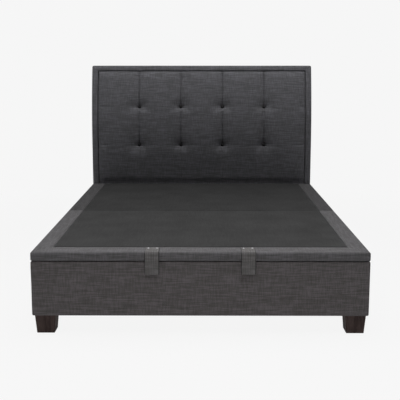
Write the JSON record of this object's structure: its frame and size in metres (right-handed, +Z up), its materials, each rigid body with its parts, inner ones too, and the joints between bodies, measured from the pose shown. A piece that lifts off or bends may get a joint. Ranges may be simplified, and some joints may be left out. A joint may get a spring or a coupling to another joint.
{
  "type": "ottoman storage bed",
  "caption": "Upholstered storage bed: a padded platform lifts on side linkages and gas struts over a boxed base, with a tall curved headboard, buttoned cushion, pull straps and block legs.",
  "frame": {"origin": "on the floor, at the middle of the bed's overall length and width", "axes": "+X to the right seen from the foot, +Y from the foot to the headboard, +Z up"},
  "size_m": [1.62, 2.2325, 1.2778],
  "materials": {
    "charcoal_linen": "woven linen, charcoal",
    "black_cloth": "fine black anti-slip cloth",
    "dark_wood": "dark espresso stain, satin",
    "pine": "planed softwood",
    "board": "plywood",
    "black_steel": "black powder coat",
    "bright_steel": "bright",
    "zinc": "zinc plated",
    "rubber": "matte",
    "plastic": "matte black"
  },
  "bodies": {
    "base": {"headboard_border": "charcoal_linen", "headboard_cushion": "charcoal_linen", "headboard_buttons": "charcoal_linen", "headboard_core": "board", "headboard_back_cover": "black_cloth", "foot_rail_board": "board", "foot_rail_cover": "charcoal_linen", "side_rail_board_left": "board", "side_rail_board_right": "board", "side_rail_cover_left": "charcoal_linen", "side_rail_cover_right": "charcoal_linen", "head_rail": "pine", "leg_front_left": "dark_wood", "leg_front_right": "dark_wood", "leg_rear_left": "dark_wood", "leg_rear_right": "dark_wood", "leg_glides": "plastic", "leg_bolts": "zinc", "corner_blocks": "pine", "corner_brackets": "zinc", "frame_bolts": "zinc", "floor_ledges": "pine", "floor_bearers": "pine", "centre_beam": "pine", "centre_legs": "pine", "storage_floor_front": "board", "storage_floor_rear": "board", "rubber_buffers": "rubber", "base_bracket_left": "black_steel", "base_bracket_right": "black_steel", "base_pivot_pins": "zinc"},
    "platform": {"platform_side_rails": "pine", "platform_cross_rails": "pine", "platform_slats": "pine", "joining_plates": "zinc", "deck_board_front": "board", "deck_board_rear": "board", "deck_cloth_front": "black_cloth", "deck_cloth_rear": "black_cloth", "border_cover_front": "charcoal_linen", "border_cover_rear": "charcoal_linen", "strap_ends": "charcoal_linen", "strap_tacks": "bright_steel", "lift_bracket_left": "black_steel", "lift_bracket_right": "black_steel", "platform_pivot_pins": "zinc"},
    "short_arm_left": {"short_arm_left": "black_steel", "strut_stud_left": "zinc"},
    "long_arm_left": {"long_arm_left": "black_steel"},
    "strut_cylinder_left": {"strut_cylinder_left": "black_steel"},
    "strut_rod_left": {"strut_rod_left": "bright_steel"},
    "pull_strap_left": {"pull_strap_left": "charcoal_linen"},
    "short_arm_right": {"short_arm_right": "black_steel", "strut_stud_right": "zinc"},
    "long_arm_right": {"long_arm_right": "black_steel"},
    "strut_cylinder_right": {"strut_cylinder_right": "black_steel"},
    "strut_rod_right": {"strut_rod_right": "bright_steel"},
    "pull_strap_right": {"pull_strap_right": "charcoal_linen"}
  },
  "joints": [
    {"name": "lift_arm_left", "type": "hinge", "parent": "base", "child": "short_arm_left", "pos_m": [0, 0.45147, 0.331], "axis": [1, 0, 0], "range_deg": [0, 45]},
    {"name": "platform_tilt", "type": "hinge", "parent": "short_arm_left", "child": "platform", "pos_m": [0, 0.72847, 0.336], "axis": [1, 0, 0], "range_deg": [-78.32, 0]},
    {"name": "lift_arm_right", "type": "hinge", "parent": "base", "child": "short_arm_right", "pos_m": [0, 0.45147, 0.331], "axis": [1, 0, 0], "range_deg": [0, 45]},
    {"name": "link_arm_left", "type": "hinge", "parent": "base", "child": "long_arm_left", "pos_m": [0, 0.15447, 0.212], "axis": [1, 0, 0], "range_deg": [0, 30.11]},
    {"name": "strut_foot_left", "type": "hinge", "parent": "base", "child": "strut_cylinder_left", "pos_m": [0, 0.25647, 0.191], "axis": [1, 0, 0], "range_deg": [0, 22.5]},
    {"name": "strut_head_left", "type": "hinge", "parent": "short_arm_left", "child": "strut_rod_left", "pos_m": [0, 0.64647, 0.191], "axis": [1, 0, 0], "range_deg": [-22.5, 0]},
    {"name": "strap_swing_left", "type": "hinge", "parent": "platform", "child": "pull_strap_left", "pos_m": [0, -1.11483, 0.411], "axis": [-1, 0, 0], "range_deg": [0, 80]},
    {"name": "link_arm_right", "type": "hinge", "parent": "base", "child": "long_arm_right", "pos_m": [0, 0.15447, 0.212], "axis": [1, 0, 0], "range_deg": [0, 30.11]},
    {"name": "strut_foot_right", "type": "hinge", "parent": "base", "child": "strut_cylinder_right", "pos_m": [0, 0.25647, 0.191], "axis": [1, 0, 0], "range_deg": [0, 22.5]},
    {"name": "strut_head_right", "type": "hinge", "parent": "short_arm_right", "child": "strut_rod_right", "pos_m": [0, 0.64647, 0.191], "axis": [1, 0, 0], "range_deg": [-22.5, 0]},
    {"name": "strap_swing_right", "type": "hinge", "parent": "platform", "child": "pull_strap_right", "pos_m": [0, -1.11483, 0.411], "axis": [-1, 0, 0], "range_deg": [0, 80]}
  ],
  "couplings": [
    {"joint": "platform_tilt", "follows": "lift_arm_left", "ratio": -1.7405},
    {"joint": "lift_arm_right", "follows": "lift_arm_left", "ratio": 1},
    {"joint": "link_arm_left", "follows": "lift_arm_left", "ratio": 0.669},
    {"joint": "strut_foot_left", "follows": "lift_arm_left", "ratio": 0.5},
    {"joint": "strut_head_left", "follows": "lift_arm_left", "ratio": -0.5},
    {"joint": "link_arm_right", "follows": "lift_arm_left", "ratio": 0.669},
    {"joint": "strut_foot_right", "follows": "lift_arm_left", "ratio": 0.5},
    {"joint": "strut_head_right", "follows": "lift_arm_left", "ratio": -0.5}
  ]
}
